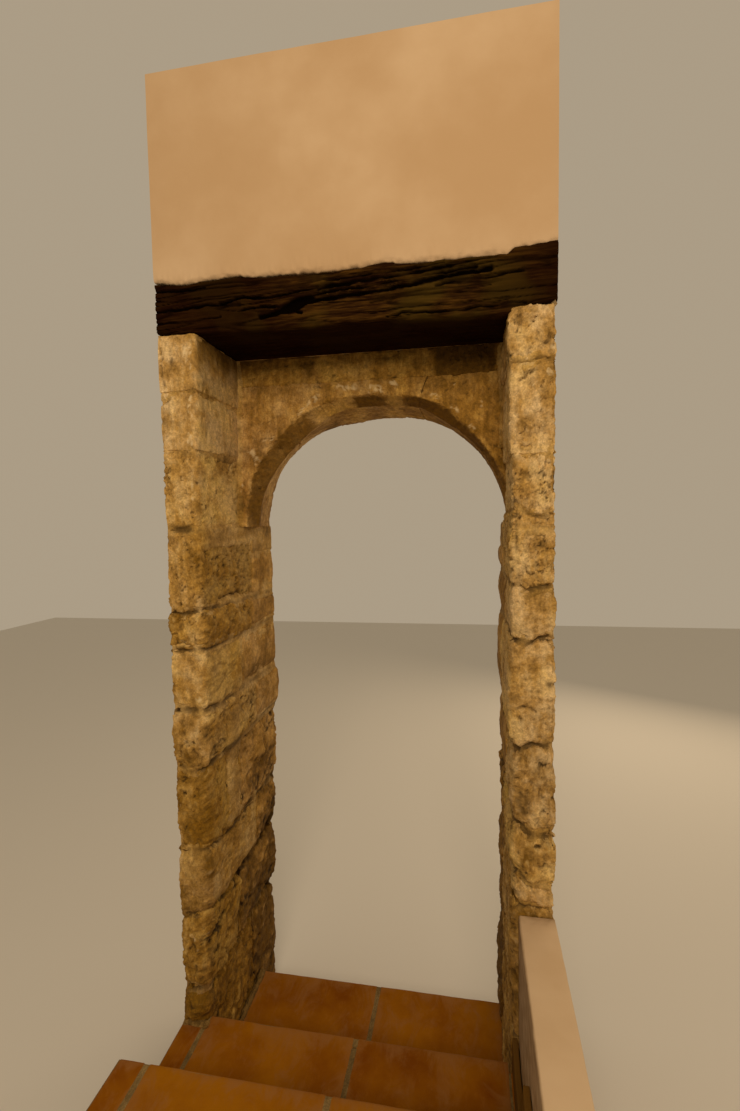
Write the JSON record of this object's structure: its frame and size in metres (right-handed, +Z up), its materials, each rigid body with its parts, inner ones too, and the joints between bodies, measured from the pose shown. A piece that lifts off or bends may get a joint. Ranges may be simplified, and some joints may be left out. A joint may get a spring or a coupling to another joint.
{
  "type": "stone arched doorway with timber lintel and tiled steps",
  "caption": "Stone doorway through a thick plastered wall: quoin piers, a set-back round arch under a hewn timber lintel, and tiled steps down beside a low kerb.",
  "frame": {"origin": "on the underside of the lowest step, at the lower floor's level, under the middle of the opening and half way through the wall", "axes": "+X to the right as seen from the stairs, +Y through the doorway away from the stairs, +Z up"},
  "size_m": [0.94, 1.06, 2.7],
  "materials": {
    "quoin_stone": "worn golden limestone quoins, pitted and rounded",
    "arch_stone": "dressed golden limestone, worn smooth",
    "rubble_stone": "rough rubble limestone laid in lime mortar",
    "lime_mortar": "smoothed lime mortar",
    "old_timber": "hewn timber, dark with age, split along the grain",
    "masonry_core": "coursed rubble masonry",
    "lime_plaster": "trowelled lime plaster, matt",
    "terracotta": "waxed terracotta tiles"
  },
  "bodies": {
    "root": {"left_quoin_1": "quoin_stone", "left_quoin_2": "quoin_stone", "left_quoin_3": "quoin_stone", "left_quoin_4": "quoin_stone", "left_quoin_5": "quoin_stone", "left_quoin_6": "quoin_stone", "left_quoin_7": "quoin_stone", "left_quoin_8": "quoin_stone", "left_quoin_9": "quoin_stone", "left_quoin_10": "quoin_stone", "left_quoin_11": "quoin_stone", "right_quoin_1": "quoin_stone", "right_quoin_2": "quoin_stone", "right_quoin_3": "quoin_stone", "right_quoin_4": "quoin_stone", "right_quoin_5": "quoin_stone", "right_quoin_6": "quoin_stone", "right_quoin_7": "quoin_stone", "right_quoin_8": "quoin_stone", "right_quoin_9": "quoin_stone", "right_quoin_10": "quoin_stone", "right_quoin_11": "quoin_stone", "left_springer": "arch_stone", "left_haunch": "arch_stone", "crown_stone": "arch_stone", "right_haunch": "arch_stone", "right_springer": "arch_stone", "left_jamb": "rubble_stone", "right_jamb": "rubble_stone", "levelling_course": "rubble_stone", "left_impost": "lime_mortar", "right_impost": "lime_mortar", "timber_lintel": "old_timber", "backing_course": "masonry_core", "upper_wall": "masonry_core", "step_masonry": "masonry_core", "near_plaster": "lime_plaster", "far_plaster": "lime_plaster", "stair_kerb": "lime_plaster", "lower_tread": "terracotta", "middle_tread": "terracotta", "upper_tread": "terracotta", "riser_tiles": "terracotta", "kerb_skirting": "terracotta"}
  },
  "joints": []
}
